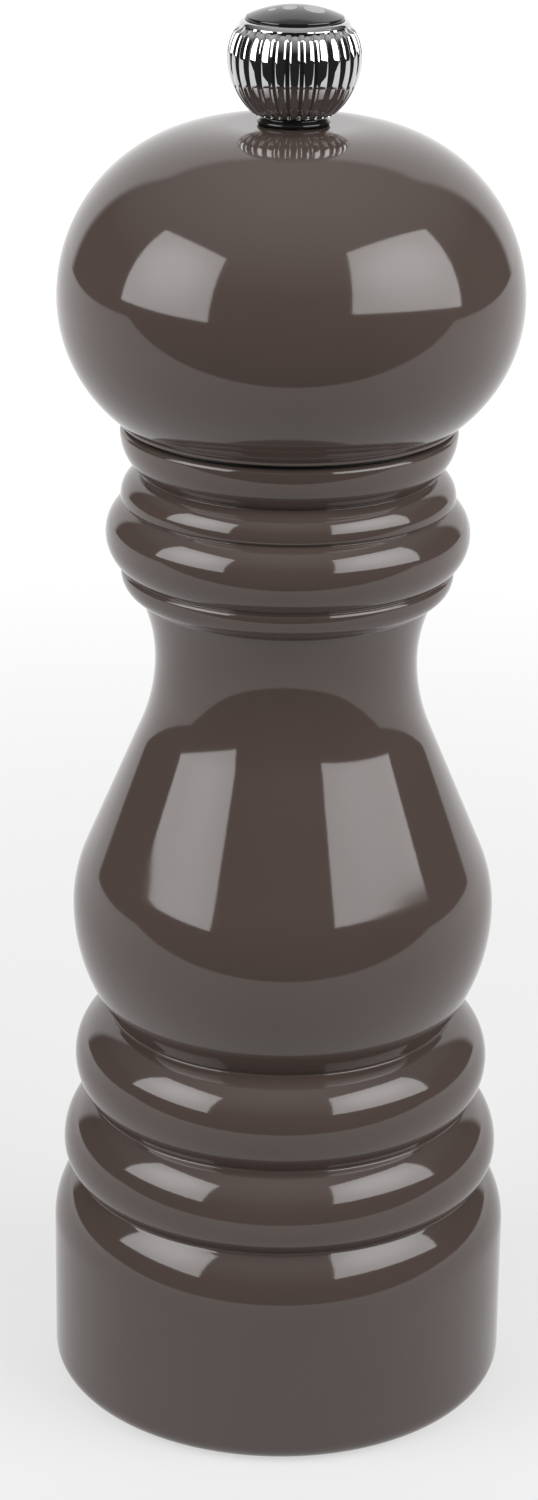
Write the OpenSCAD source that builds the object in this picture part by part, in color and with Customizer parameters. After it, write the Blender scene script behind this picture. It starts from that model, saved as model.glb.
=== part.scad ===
// Pepper mill with a turned, lacquered wooden body and head, a fluted top knob that sets the grind,
// and a steel burr mechanism in its foot. Origin: centre of the foot, on the table. +Z is up.

/* [Overall] */
// Height of the body, from the table to the seam under the head
body_h = 129; // [126:0.5:170]
// Radius of the straight base
base_r = 29.6; // [29.2:0.1:40]
// Height of the head, from its foot to its crown
head_h = 36.5; // [34:0.5:50]
// Largest radius of the head
head_r = 28.45; // [26:0.05:36]
// Largest radius of the knob
knob_r = 8; // [7.4:0.1:11]
// Height of the knob, from its washer to the rim around the cap
knob_h = 11; // [10.4:0.1:15]

/* [Base and lower beads] */
// Rounding of the base's bottom edge
base_edge = 3; // [0.5:0.1:4]
// Height at which the base starts to round over
shoulder_z = 21; // [14:0.1:26]
// Radius at the bottom of the groove above the base
groove3_r = 26.4; // [25:0.1:28]
// Height of the groove above the base
groove3_z = 28.6; // [27:0.1:30]
// Radius of the lower bead
bead2_r = 28.3; // [27:0.1:34]
// Height of the lower bead's widest ring
bead2_z = 32.4; // [31.5:0.1:34]
// Radius at the bottom of the groove between the beads
groove2_r = 24.5; // [23:0.1:26]
// Height of the groove between the beads
groove2_z = 39.2; // [38:0.1:40]
// Radius of the upper of the two beads
bead1_r = 26.75; // [25:0.05:32]
// Height of the upper bead's widest ring
bead1_z = 44.6; // [43.5:0.1:46]
// Radius at the bottom of the groove under the belly
groove1_r = 22.1; // [21:0.1:24]
// Height of the groove under the belly
groove1_z = 51.3; // [50:0.1:53]

/* [Belly and neck] */
// Largest radius of the belly
belly_r = 26.9; // [24:0.1:32]
// Height of the belly's widest ring
belly_z = 65.7; // [64:0.1:67]
// Radius of the belly's outward curve
belly_curve = 18.5; // [12:0.1:19]
// Smallest radius of the neck
neck_r = 16.45; // [15:0.05:18]
// Depth of the neck's narrowest ring below the seam
neck_depth = 30; // [28:0.1:32]
// Radius of the neck's inward curve
neck_curve = 24; // [16:0.1:24.5]

/* [Collar beads] */
// Radius where the neck runs into the small roll
roll_foot_r = 18.4; // [18:0.1:18.8]
// Depth of the small roll's foot below the seam
roll_foot_depth = 21.6; // [21:0.1:22.5]
// Radius of the small roll
roll_r = 20.7; // [20:0.1:21.4]
// Depth of the small roll's widest ring below the seam
roll_depth = 18.5; // [18.2:0.1:19]
// Radius at the bottom of the groove under the collar bead
collar_groove_r = 20.3; // [19.6:0.1:20.6]
// Depth of the groove under the collar bead below the seam
collar_groove_depth = 17.9; // [17.2:0.1:18.1]
// Radius of the collar bead
collar_bead_r = 22.6; // [22:0.1:26]
// Depth of the collar bead's widest ring below the seam
collar_bead_depth = 13.5; // [12.5:0.1:14]
// Radius at the crease on top of the collar bead
crease_r = 20.3; // [20:0.1:20.5]
// Depth of the crease below the seam
crease_depth = 9.4; // [9:0.1:9.8]
// Radius of the step above the crease
step_r = 20.75; // [20.6:0.05:21.5]
// Depth of the step's widest ring below the seam
step_depth = 8.8; // [8.4:0.1:8.9]
// Radius at the bottom of the V groove under the collar
v_groove_r = 18.2; // [17.6:0.1:19.5]
// Depth of the V groove below the seam
v_groove_depth = 5.6; // [5:0.1:6]
// Radius of the collar
collar_r = 20.8; // [20.4:0.1:24]
// Rounding of the collar's top edge
collar_edge = 0.6; // [0.3:0.1:1]

/* [Head] */
// Radius of the head's foot
head_foot_r = 20.9; // [20.4:0.1:24]
// Rounding of the head's foot
head_foot_edge = 0.5; // [0.3:0.1:1]
// Radius of the head's upper curve, which ends in the crown
head_curve = 21; // [18:0.1:21]
// Length of the spigot below the head's foot
spigot_l = 15.5; // [10:0.1:20]

/* [Bores in the body] */
// Radius of the socket that the head's spigot turns in
socket_r = 14; // [13:0.1:14.4]
// Radius of the pepper hopper
hopper_r = 11.5; // [8:0.1:12.4]
// Depth of the recess, up to the face that the housing's flange is screwed to
recess_h = 9; // [8.8:0.1:12]

// Wall of the base around the recess
base_wall = 5.6; // [4.5:0.1:8]

/* [Glide ring] */
// Thickness of the glide ring at the seam
glide_t = 0.5; // [0.3:0.1:1.5]
// Width of the dark shadow line, how far the glide ring stands back from the collar
glide_setback = 0.9; // [0.7:0.1:2]

/* [Shaft] */
// Width of the square shaft across its flats
shaft_w = 5; // [4:0.1:6]
// How far the threads stand back from the shaft's flats
thread_setback = 0.05; // [0.05:0.05:0.5]
// Thread pitch
thread_pitch = 0.8; // [0.5:0.1:1]
// Depth of the thread
thread_depth = 0.35; // [0.2:0.05:0.4]
// Length of the threaded top
thread_l = 20; // [14:0.5:26]
// Space between the shaft's tip and the top of the knob's insert
tip_space = 0.4; // [0.3:0.1:1]

/* [Burrs] */
// Height of the fine grinding zone
fine_h = 5; // [4:0.1:6]
// How much the burrs narrow for each millimetre of height
burr_slope = 0.4; // [0.3:0.05:0.5]
// Gap between the burrs at the finest setting, measured along a radius
burr_gap = 0.4; // [0.3:0.05:0.6]
// Height of the ring burr
ring_burr_h = 10.6; // [9:0.1:10.6]
// Outer radius of the ring burr
ring_burr_outer_r = 16.35; // [13.6:0.05:16.8]
// Wall of the ring burr at the bottom of its fine zone, and at its open top
ring_burr_wall = 3.35; // [3:0.05:3.8]
// How far the male burr stands out below the ring burr
male_burr_drop = 1; // [0.5:0.1:1.2]
// Height of the male burr's coarse cone above the fine zone
coarse_h = 6; // [5:0.1:7]
// Depth of the recess for the nut in the male burr's underside
nut_recess_h = 2.5; // [1.5:0.1:3]
// Radius of the recess for the nut
nut_recess_r = 8; // [7:0.1:9]
// Number of fine teeth on each burr
fine_teeth = 30; // [18:1:36]
// Number of coarse teeth on the male burr
coarse_teeth = 8; // [5:1:10]
// Number of coarse teeth in the ring burr's mouth
mouth_teeth = 12; // [6:1:16]
// Depth of the fine teeth
fine_depth = 0.7; // [0.4:0.05:0.9]
// Depth of the coarse teeth
coarse_depth = 1.6; // [0.8:0.05:1.8]
// Slant of the teeth
tooth_slant = 18; // [5:1:25]

// Share of the fine teeth's pitch that a groove takes on each side of its middle
fine_share = 0.36; // [0.2:0.02:0.4]
// Share of the coarse teeth's pitch that a groove takes on each side of its middle
coarse_share = 0.25; // [0.15:0.01:0.3]

/* [Housing and bridge] */
// Thickness of the housing's sheet steel
sheet_t = 1.2; // [0.8:0.1:1.4]
// Wall thickness of the housing's cup
cup_wall = 0.9; // [0.6:0.1:1]
// Gap between the ring burr and the lip above it, for the rivets' tails
lip_gap = 1; // [0.9:0.1:1.5]
// How far the lip stands back from the ring burr's mouth
lip_setback = 0.2; // [0.1:0.1:0.6]
// Height of the bridge's bar above its feet
bridge_rise = 9; // [8:0.1:10]
// Width of the bridge
bridge_w = 8; // [7:0.1:11]
// Width of the bridge's round eye outside the bush
bridge_eye_wall = 2.3; // [1.8:0.1:3]
// Radius of the rivets
rivet_r = 0.9; // [0.7:0.05:1]
// Radius of the rivets' heads
rivet_head_r = 1.4; // [1.2:0.1:1.4]
// Height of the rivets' heads
rivet_head_h = 0.6; // [0.4:0.1:0.8]

/* [Spring and washers] */
// Wire radius of the spring
wire_r = 0.45; // [0.3:0.05:0.5]
// Space between the spring and the shaft
spring_space = 0.77; // [0.7:0.01:1.2]
// Number of turns of the spring
spring_turns = 5; // [3:1:6]
// Thickness of the washers
washer_t = 0.8; // [0.5:0.1:1]
// How far the spring's top washer stands out past the spring
washer_margin = 0.45; // [0.3:0.05:1]
// How far the washer on the male burr stands out past the spring
thrust_margin = 0.05; // [0.05:0.05:0.6]
// Wall of the bush
bush_wall = 1.22; // [1:0.01:1.6]
// Width of the bush's flange
bush_flange_w = 1.5; // [1:0.1:2.2]
// Outer radius of the washer under the male burr
foot_washer_r = 6.6; // [5.5:0.1:6.8]
// Width of the foot nut across its flats
nut_w = 8; // [7:0.5:9]
// Height of the foot nut
nut_h = 2.8; // [2:0.1:3.2]
// How far the shaft stands out of the foot nut
shaft_foot = 0.6; // [0.3:0.1:0.8]

/* [Screws] */
// Number of screws that hold the housing
housing_screw_n = 3; // [3:1:4]
// Radius of the screws' shanks
screw_r = 1.25; // [1:0.05:1.5]
// Radius of the screws' heads
screw_head_r = 2.4; // [2:0.1:2.6]
// Height of the screws' heads
screw_head_h = 1.3; // [1:0.1:1.5]
// Length of the screws below their heads
screw_l = 11; // [8:0.5:14]
// How far the drive plate stands back from the spigot
plate_setback = 0.9; // [0.5:0.1:2]
// Width of the drive plate outside its screws' heads
plate_edge = 1.4; // [0.5:0.1:2]
// Thickness of the drive plate
plate_t = 1.5; // [1:0.1:2]

/* [Knob] */
// How far the washer under the knob stands back from the knob's foot
knob_washer_setback = 0.5; // [0.2:0.1:1]
// Rounding of the bottom edge of the washer under the knob
knob_washer_edge = 0.3; // [0.1:0.1:0.6]
// Height of the washer under the knob
knob_washer_h = 1.3; // [0.8:0.1:2]
// Wall of the knob's foot around the insert
knob_foot_wall = 0.6; // [0.5:0.1:1.5]
// Height of the knob's widest ring above its washer
knob_belly_h = 6.6; // [6:0.1:8]
// How far the knob's rim stands back from its widest ring
knob_rim_setback = 1.5; // [1:0.1:1.8]
// Width of the rim around the knob's cap
cap_rim_w = 0.65; // [0.6:0.05:1.2]
// Number of flutes around the knob
flute_n = 28; // [12:1:36]
// Width of the grooves between the flutes
flute_groove_w = 0.5; // [0.2:0.05:0.6]
// Depth of the grooves between the flutes
flute_groove_depth = 0.35; // [0.2:0.05:0.5]
// Depth of the cap's seat below the knob's rim
cap_seat = 0.7; // [0.4:0.1:0.9]
// Height of the cap above its seat, at its middle
cap_h = 2.4; // [1.6:0.1:3]
// Height of the cap's straight edge above its seat
cap_edge_h = 1.1; // [0.8:0.1:1.4]
// Wall of the threaded insert
insert_wall = 1.85; // [1.2:0.05:2]
// Thickness of the web between the insert and the cap
knob_web = 0.8; // [0.5:0.1:1]

/* [Clearances] */
// Between the spigot and its socket, along a radius
turn_gap = 0.3; // [0.2:0.05:0.6]
// Between the round parts that run in each other, along a radius
run_gap = 0.08; // [0.02:0.01:0.1]
// Between the square shaft and the square holes that it slides in, on each side
slide_gap = 0.15; // [0.1:0.05:0.3]
// Between fixed pieces and their seats
fit_gap = 0.05; // [0.02:0.01:0.1]
// Between the housing and the recess and pocket around it
housing_gap = 0.3; // [0.1:0.05:0.5]
// Between a screw's shank and the sheet that it holds
screw_gap = 0.25; // [0.1:0.05:0.4]
// Between the rivets' heads and the bridge's legs
leg_gap = 0.1; // [0.05:0.05:0.3]
// Between the shaft and the bore of the head, outside the shaft's corners
bore_gap = 0.8; // [0.4:0.1:2]
// Between the drive plate's screws and the socket's floor
floor_gap = 0.8; // [0.5:0.1:3]
// Between the bush and the top of the pocket
pocket_gap = 1; // [0.5:0.1:3]
// How far the finest setting can be opened: the travel of the shaft and the male burr
burr_travel = 1.8; // [1:0.1:2]

/* [Hidden] */

turned_fn = 96;       // facets of the large turned surfaces
small_fn = 48;        // facets of screws, rivets and bores
arc_steps = 10;       // steps along each arc of an outline
knob_steps = 5;       // steps along each arc of the knob
cut = 1;              // how far a cutting tool runs past a face
corner_share = 0.68;  // share of the shaft's width at which its corners are turned off
slot_w = 0.6;         // width of the screws' slots
slot_share = 0.6;     // share of a screw head that its slots take up, across and down
screw_tip_r = 0.1;    // radius of the blunt tip of a screw
root_in = 0.4;        // how far the mouth's teeth start outside the ring burr's throat

taupe = "#5f5654";
raw_beech = "#c9a77a";
steel = "#b7b9bc";
dark_steel = "#6c6e72";
chrome = "#dfe1e4";
brass = "#c8a24a";
nylon = "#e8e4d8";
black = "#1c1c1e";

// Heights of the mechanism in the foot, from the bottom up
flange_z = recess_h - sheet_t;
ring_top_z = recess_h + ring_burr_h;
lip_z = ring_top_z + lip_gap;
cup_top_z = lip_z + sheet_t;
bar_z = cup_top_z + bridge_rise;
bar_top_z = bar_z + sheet_t;
bush_flange_t = washer_t;
pocket_top_z = bar_top_z + bush_flange_t + pocket_gap;
spring_top_z = bar_z - washer_t;
male_bottom_z = recess_h - male_burr_drop;
fine_top_z = recess_h + fine_h;
male_top_z = fine_top_z + coarse_h;
spring_bottom_z = male_top_z + washer_t;
nut_seat_z = male_bottom_z + nut_recess_h;
nut_top_z = nut_seat_z - washer_t;
nut_bottom_z = nut_top_z - nut_h;
shaft_bottom_z = nut_bottom_z - shaft_foot;

// Heights of the head and the knob
head_z = body_h + glide_t;
crown_z = head_z + head_h;
head_belly_z = crown_z - head_curve;
spigot_z = head_z - spigot_l;
plate_z = spigot_z - plate_t;
socket_floor_z = plate_z - screw_head_h - floor_gap;
knob_z = crown_z + knob_washer_h;
rim_z = knob_z + knob_h;
cap_z = rim_z - cap_seat;
insert_top_z = cap_z - knob_web;
shaft_top_z = insert_top_z - tip_space;
thread_bottom_z = shaft_top_z - thread_l;

// Radii that follow from what fits together, from the shaft outwards
thread_r = shaft_w / 2 - thread_setback;
shaft_corner_r = shaft_w * corner_share;
shaft_hole_r = shaft_corner_r + run_gap;
insert_bore_r = thread_r + run_gap;
insert_r = thread_r + insert_wall;
bush_r = shaft_hole_r + bush_wall;
bush_flange_r = bush_r + bush_flange_w;
bridge_eye_r = bush_r + bridge_eye_wall;
spring_r = shaft_hole_r + spring_space + wire_r;
spring_outer_r = spring_r + wire_r;
washer_r = spring_outer_r + washer_margin;
male_top_r = spring_outer_r + thrust_margin;
head_bore_r = shaft_corner_r + bore_gap;

// Radii in the foot
recess_r = base_r - base_wall;
ring_burr_r = ring_burr_outer_r - ring_burr_wall;
ring_mouth_r = ring_burr_r;
lip_r = ring_mouth_r + lip_setback;
cup_r = ring_burr_outer_r + fit_gap;
cup_outer_r = cup_r + cup_wall;
pocket_r = cup_outer_r + housing_gap;
flange_r = recess_r - housing_gap;
housing_screw_at_r = (cup_outer_r + flange_r) / 2;
rivet_at_r = (lip_r + cup_r) / 2;
bridge_leg_r = rivet_at_r - rivet_head_r - leg_gap - sheet_t;
pilot_r = screw_r + fit_gap;
screw_hole_r = screw_r + screw_gap;
rivet_hole_r = rivet_r + fit_gap;

// Radii in the head and the knob
spigot_r = socket_r - turn_gap;
plate_r = spigot_r - plate_setback;
plate_screw_at_r = plate_r - plate_edge - screw_head_r;
knob_foot_r = insert_r + knob_foot_wall;
knob_washer_r = knob_foot_r - knob_washer_setback;
knob_rim_r = knob_r - knob_rim_setback;
cap_r = knob_rim_r - cap_rim_w;

function backwards(points) = [for (i = [len(points) - 1:-1:0]) points[i]];

// Runs of points joined end to end, without the point that a run shares with the one before it
function chain(runs) =
    [for (i = [0:len(runs) - 1], k = [(i == 0 ? 0 : 1):len(runs[i]) - 1]) runs[i][k]];

// An arc that leaves a widest or narrowest ring upright and ends at another point. Where the other
// point lies further in than it lies up or down, it is a quarter of an ellipse instead.
function half_bead(ring, end, steps = arc_steps) =
    let (dr = ring[0] - end[0], dz = end[1] - ring[1],
         r = (dr * dr + dz * dz) / (2 * dr),
         round_arc = abs(dr) <= abs(dz),
         sweep = round_arc ? asin(min(1, abs(dz / r))) : 90,
         across = round_arc ? r : dr,
         rise = round_arc ? sign(dz) * abs(r) : dz)
    [for (i = [0:steps])
        let (a = sweep * i / steps)
        [ring[0] - across * (1 - cos(a)), ring[1] + rise * sin(a)]];

// A whole bead from one groove to the next
function bead(groove, ring, next_groove, steps = arc_steps) =
    chain([backwards(half_bead(ring, groove, steps)), half_bead(ring, next_groove, steps)]);

// From a belly up to a neck: an outward arc and an inward arc that share a tangent
function belly_to_neck(belly, belly_curve, neck, neck_curve) =
    let (c1 = [belly[0] - belly_curve, belly[1]], c2 = [neck[0] + neck_curve, neck[1]],
         across = c2 - c1,
         a = atan2(across[1], across[0]) - acos((belly_curve + neck_curve) / norm(across)))
    concat([for (i = [0:arc_steps]) let (t = a * i / arc_steps) c1 + belly_curve * [cos(t), sin(t)]],
           [for (i = [0:arc_steps]) let (t = a * (1 - i / arc_steps)) c2 - neck_curve * [cos(t), sin(t)]]);

function below_seam(depth) = body_h - depth;

function body_outline() =
    let (groove3 = [groove3_r, groove3_z], groove2 = [groove2_r, groove2_z],
         groove1 = [groove1_r, groove1_z], belly = [belly_r, belly_z],
         neck = [neck_r, below_seam(neck_depth)],
         roll_foot = [roll_foot_r, below_seam(roll_foot_depth)],
         collar_groove = [collar_groove_r, below_seam(collar_groove_depth)],
         crease = [crease_r, below_seam(crease_depth)],
         v_groove = [v_groove_r, below_seam(v_groove_depth)],
         collar_top = [collar_r, below_seam(collar_edge)])
    concat([[0, 0]], chain([
        backwards(half_bead([base_r, base_edge], [base_r - base_edge, 0])),
        concat([[base_r, base_edge]], half_bead([base_r, shoulder_z], groove3)),
        bead(groove3, [bead2_r, bead2_z], groove2),
        bead(groove2, [bead1_r, bead1_z], groove1),
        backwards(half_bead(belly, groove1)),
        belly_to_neck(belly, belly_curve, neck, neck_curve),
        half_bead(neck, roll_foot),
        bead(roll_foot, [roll_r, below_seam(roll_depth)], collar_groove),
        bead(collar_groove, [collar_bead_r, below_seam(collar_bead_depth)], crease),
        bead(crease, [step_r, below_seam(step_depth)], v_groove),
        backwards(half_bead(collar_top, v_groove)),
        half_bead(collar_top, [collar_r - collar_edge, body_h])]),
        [[0, body_h]]);

function head_outline() =
    let (foot = [head_foot_r, head_z + head_foot_edge], belly = [head_r, head_belly_z])
    concat([[0, head_z]], chain([
        backwards(half_bead(foot, [head_foot_r - head_foot_edge, head_z])),
        backwards(half_bead(belly, foot)),
        half_bead(belly, [head_r - head_curve, crown_z])]),
        [[0, crown_z]]);

function knob_outline(inset = 0) =
    let (belly = [knob_r - inset, knob_z + knob_belly_h],
         rim = [knob_rim_r - inset, rim_z - (knob_rim_r - cap_r) / 2])
    concat([[0, knob_z]],
           bead([knob_foot_r - inset, knob_z], belly, rim, knob_steps),
           [[cap_r + 2 * fit_gap, rim_z], [0, rim_z]]);

// A tube or, with no bore, a disc
module ring(outer, inner, h, fn = small_fn) {
    difference() {
        cylinder(r = outer, h = h, $fn = fn);
        translate([0, 0, -cut]) cylinder(r = inner, h = h + 2 * cut, $fn = fn);
    }
}

module around(n, r, start = 0) {
    for (i = [0:n - 1]) rotate([0, 0, start + i * 360 / n]) translate([r, 0, 0]) children();
}

// Square hole that the shaft passes through
module square_hole(gap, h) {
    w = shaft_w + 2 * gap;
    translate([-w / 2, -w / 2, -cut]) cube([w, w, h + 2 * cut]);
}

// A screw that points up, its head below z = 0
module screw_up(length) {
    difference() {
        union() {
            translate([0, 0, -screw_head_h]) cylinder(r = screw_head_r, h = screw_head_h, $fn = small_fn);
            cylinder(r = screw_r, h = length - screw_r, $fn = small_fn);
            translate([0, 0, length - screw_r])
                rotate_extrude($fn = small_fn) polygon([[0, 0], [screw_r, 0], [screw_tip_r, screw_r], [0, screw_r]]);
        }
        for (turn = [0, 90]) rotate([0, 0, turn])
            translate([-screw_head_r * slot_share, -slot_w / 2, -screw_head_h - cut])
                cube([2 * screw_head_r * slot_share, slot_w, cut + screw_head_h * slot_share]);
    }
}

// A row of V grooves around a cone between two heights, each one leaning by the teeth's slant
module tooth_grooves(n, z1, r1, z2, r2, depth, share, inside = false) {
    lean = atan2(r2 - r1, z2 - z1);
    length = norm([r2 - r1, z2 - z1]) + 4 * depth + 2 * cut;
    pitch = 360 / n * PI / 180 * (r1 + r2) / 2;
    width = share * pitch * (depth + cut) / depth;
    around(n, (r1 + r2) / 2)
        translate([0, 0, (z1 + z2) / 2])
        rotate([0, lean, 0])
        rotate([tooth_slant, 0, inside ? 180 : 0])
        translate([0, 0, -length / 2])
        linear_extrude(length) polygon([[-depth, 0], [cut, width], [cut, -width]]);
}

module body() {
    color(taupe) difference() {
        rotate_extrude($fn = turned_fn) polygon(body_outline());
        translate([0, 0, -cut]) cylinder(r = recess_r, h = recess_h + cut, $fn = turned_fn);
        cylinder(r = pocket_r, h = pocket_top_z, $fn = turned_fn);
        cylinder(r = hopper_r, h = body_h, $fn = turned_fn);
        translate([0, 0, socket_floor_z])
            cylinder(r = socket_r, h = body_h - socket_floor_z + cut, $fn = turned_fn);
        around(housing_screw_n, housing_screw_at_r, 90)
            cylinder(r = pilot_r, h = flange_z + screw_l + fit_gap, $fn = small_fn);
    }
}

module housing() {
    color(steel) difference() {
        union() {
            translate([0, 0, flange_z]) cylinder(r = flange_r, h = sheet_t, $fn = turned_fn);
            translate([0, 0, flange_z]) cylinder(r = cup_outer_r, h = cup_top_z - flange_z, $fn = turned_fn);
        }
        translate([0, 0, flange_z - cut])
            cylinder(r = ring_burr_r + male_burr_drop * burr_slope + coarse_depth, h = sheet_t + 2 * cut, $fn = turned_fn);
        translate([0, 0, recess_h]) cylinder(r = cup_r, h = lip_z - recess_h, $fn = turned_fn);
        cylinder(r = lip_r, h = cup_top_z + cut, $fn = turned_fn);
        around(housing_screw_n, housing_screw_at_r, 90)
            cylinder(r = screw_hole_r, h = recess_h + cut, $fn = small_fn);
        around(2, rivet_at_r) translate([0, 0, recess_h]) cylinder(r = rivet_hole_r, h = cup_top_z, $fn = small_fn);
    }
}

module housing_screws() {
    color(dark_steel) around(housing_screw_n, housing_screw_at_r, 90) translate([0, 0, flange_z]) screw_up(screw_l);
}

module ring_burr() {
    throat_r = ring_burr_r - fine_h * burr_slope;
    color(dark_steel) difference() {
        translate([0, 0, recess_h]) cylinder(r = ring_burr_outer_r, h = ring_burr_h, $fn = turned_fn);
        rotate_extrude($fn = turned_fn)
            polygon([[0, recess_h - cut], [ring_burr_r + cut * burr_slope, recess_h - cut],
                     [throat_r, fine_top_z], [ring_mouth_r, ring_top_z],
                     [ring_mouth_r, ring_top_z + cut], [0, ring_top_z + cut]]);
        tooth_grooves(fine_teeth, recess_h, ring_burr_r, fine_top_z, throat_r, fine_depth, fine_share, inside = true);
        tooth_grooves(mouth_teeth, fine_top_z + coarse_depth, throat_r + root_in, ring_top_z, ring_mouth_r,
                      coarse_depth, coarse_share, inside = true);
    }
}

module bridge() {
    foot_end = cup_r + cup_wall / 2;
    color(steel) difference() {
        intersection() {
            union() {
                for (side = [0, 180]) rotate([0, 0, side]) {
                    translate([bridge_leg_r, -bridge_w / 2, cup_top_z])
                        cube([foot_end - bridge_leg_r, bridge_w, sheet_t]);
                    translate([bridge_leg_r, -bridge_w / 2, cup_top_z])
                        cube([sheet_t, bridge_w, bar_top_z - cup_top_z]);
                }
                translate([-bridge_leg_r, -bridge_w / 2, bar_z]) cube([2 * bridge_leg_r, bridge_w, sheet_t]);
                translate([0, 0, bar_z]) cylinder(r = bridge_eye_r, h = sheet_t, $fn = turned_fn);
            }
            cylinder(r = foot_end, h = bar_top_z, $fn = turned_fn);
        }
        translate([0, 0, bar_z - cut]) cylinder(r = bush_r + fit_gap, h = sheet_t + 2 * cut, $fn = small_fn);
        around(2, rivet_at_r) translate([0, 0, cup_top_z - cut])
            cylinder(r = rivet_hole_r, h = sheet_t + 2 * cut, $fn = small_fn);
    }
}

module bridge_rivets() {
    color(dark_steel) around(2, rivet_at_r) {
        translate([0, 0, lip_z - rivet_head_h]) cylinder(r = rivet_head_r, h = rivet_head_h, $fn = small_fn);
        translate([0, 0, lip_z - rivet_head_h])
            cylinder(r = rivet_r, h = 2 * sheet_t + 2 * rivet_head_h, $fn = small_fn);
        translate([0, 0, cup_top_z + sheet_t]) cylinder(r = rivet_head_r, h = rivet_head_h, $fn = small_fn);
    }
}

module shaft_bush() {
    color(nylon) difference() {
        union() {
            translate([0, 0, bar_z]) cylinder(r = bush_r, h = sheet_t, $fn = small_fn);
            translate([0, 0, bar_top_z]) cylinder(r = bush_flange_r, h = bush_flange_t, $fn = small_fn);
        }
        translate([0, 0, bar_z - cut])
            cylinder(r = shaft_hole_r, h = sheet_t + bush_flange_t + 2 * cut, $fn = small_fn);
    }
}

module spring_washer() {
    color(steel) translate([0, 0, spring_top_z]) ring(washer_r, shaft_hole_r + slide_gap, washer_t);
}

// The wire is swept along a helix whose end turns lie flat against the washers
module spring() {
    sides = 8;
    per_turn = 20;
    steps = spring_turns * per_turn;
    low = spring_bottom_z + wire_r;
    high = spring_top_z - wire_r;
    flat = 0.75;   // turns of wire that lie flat at each end
    function rise(turn) = min(1, max(0, (turn - flat) / (spring_turns - 2 * flat)));
    points = [for (s = [0:steps], k = [0:sides - 1])
        let (turn = s / per_turn, a = 360 * turn, b = 360 * k / sides, r = spring_r + wire_r * cos(b))
        [r * cos(a), r * sin(a), low + (high - low) * rise(turn) + wire_r * sin(b)]];
    walls = [for (s = [0:steps - 1], k = [0:sides - 1])
        [s * sides + k, (s + 1) * sides + k, (s + 1) * sides + (k + 1) % sides, s * sides + (k + 1) % sides]];
    ends = [[for (k = [0:sides - 1]) k], [for (k = [sides - 1:-1:0]) steps * sides + k]];
    color(steel) polyhedron(points, concat(walls, ends));
}

module thrust_washer() {
    color(steel) translate([0, 0, male_top_z]) ring(male_top_r, shaft_hole_r, washer_t);
}

module male_burr() {
    bottom_r = ring_burr_r - burr_gap + male_burr_drop * burr_slope;
    throat_r = ring_burr_r - burr_gap - fine_h * burr_slope;
    color(dark_steel) difference() {
        rotate_extrude($fn = turned_fn)
            polygon([[0, male_bottom_z], [bottom_r, male_bottom_z], [throat_r, fine_top_z],
                     [male_top_r, male_top_z], [0, male_top_z]]);
        translate([0, 0, male_bottom_z - cut])
            cylinder(r = nut_recess_r, h = nut_recess_h + cut, $fn = small_fn);
        translate([0, 0, nut_seat_z]) square_hole(fit_gap, male_top_z - nut_seat_z);
        tooth_grooves(fine_teeth, male_bottom_z, bottom_r, fine_top_z, throat_r, fine_depth, fine_share);
        tooth_grooves(coarse_teeth, fine_top_z + coarse_depth, throat_r - coarse_depth, male_top_z,
                      male_top_r, coarse_depth, coarse_share);
    }
}

// Thread drawn as parallel rings, which a nut or an insert clears by the running gap
module thread(z1, z2) {
    turns = floor((z2 - z1) / thread_pitch);
    start = z2 - turns * thread_pitch;
    root_r = thread_r - thread_depth;
    profile = [for (i = [0:turns - 1])
        let (z = start + i * thread_pitch)
        each [[root_r, z], [thread_r, z + thread_pitch * 0.4], [thread_r, z + thread_pitch * 0.6]]];
    rotate_extrude($fn = small_fn) polygon(concat([[0, z1], [root_r, z1]], profile, [[root_r, z2], [0, z2]]));
}

module shaft() {
    color(steel) union() {
        intersection() {
            translate([-shaft_w / 2, -shaft_w / 2, nut_seat_z])
                cube([shaft_w, shaft_w, thread_bottom_z - nut_seat_z]);
            translate([0, 0, nut_seat_z])
                cylinder(r = shaft_corner_r, h = thread_bottom_z - nut_seat_z, $fn = small_fn);
        }
        translate([0, 0, shaft_bottom_z]) cylinder(r = thread_r, h = nut_seat_z - shaft_bottom_z, $fn = small_fn);
        thread(thread_bottom_z, shaft_top_z);
    }
}

module foot_washer() {
    color(steel) translate([0, 0, nut_top_z]) ring(foot_washer_r, thread_r + fit_gap, washer_t);
}

module foot_nut() {
    color(dark_steel) translate([0, 0, nut_bottom_z]) difference() {
        cylinder(d = nut_w / cos(30), h = nut_h, $fn = 6);
        translate([0, 0, -cut]) cylinder(r = thread_r + fit_gap, h = nut_h + 2 * cut, $fn = small_fn);
    }
}

module glide_ring() {
    color(black) translate([0, 0, body_h])
        ring(min(collar_r, head_foot_r) - glide_setback, socket_r + fit_gap, glide_t, turned_fn);
}

module head() {
    color(taupe) difference() {
        union() {
            rotate_extrude($fn = turned_fn) polygon(head_outline());
            translate([0, 0, spigot_z]) cylinder(r = spigot_r, h = spigot_l + cut, $fn = turned_fn);
        }
        translate([0, 0, spigot_z - cut])
            cylinder(r = head_bore_r, h = crown_z - spigot_z + 2 * cut, $fn = small_fn);
        around(2, plate_screw_at_r) translate([0, 0, spigot_z - cut])
            cylinder(r = pilot_r, h = screw_l - plate_t + fit_gap + cut, $fn = small_fn);
    }
}

module drive_plate() {
    color(steel) translate([0, 0, plate_z]) difference() {
        cylinder(r = plate_r, h = plate_t, $fn = turned_fn);
        square_hole(slide_gap, plate_t);
        around(2, plate_screw_at_r) translate([0, 0, -cut])
            cylinder(r = screw_hole_r, h = plate_t + 2 * cut, $fn = small_fn);
    }
}

module drive_plate_screws() {
    color(dark_steel) around(2, plate_screw_at_r) translate([0, 0, plate_z]) screw_up(screw_l);
}

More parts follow.
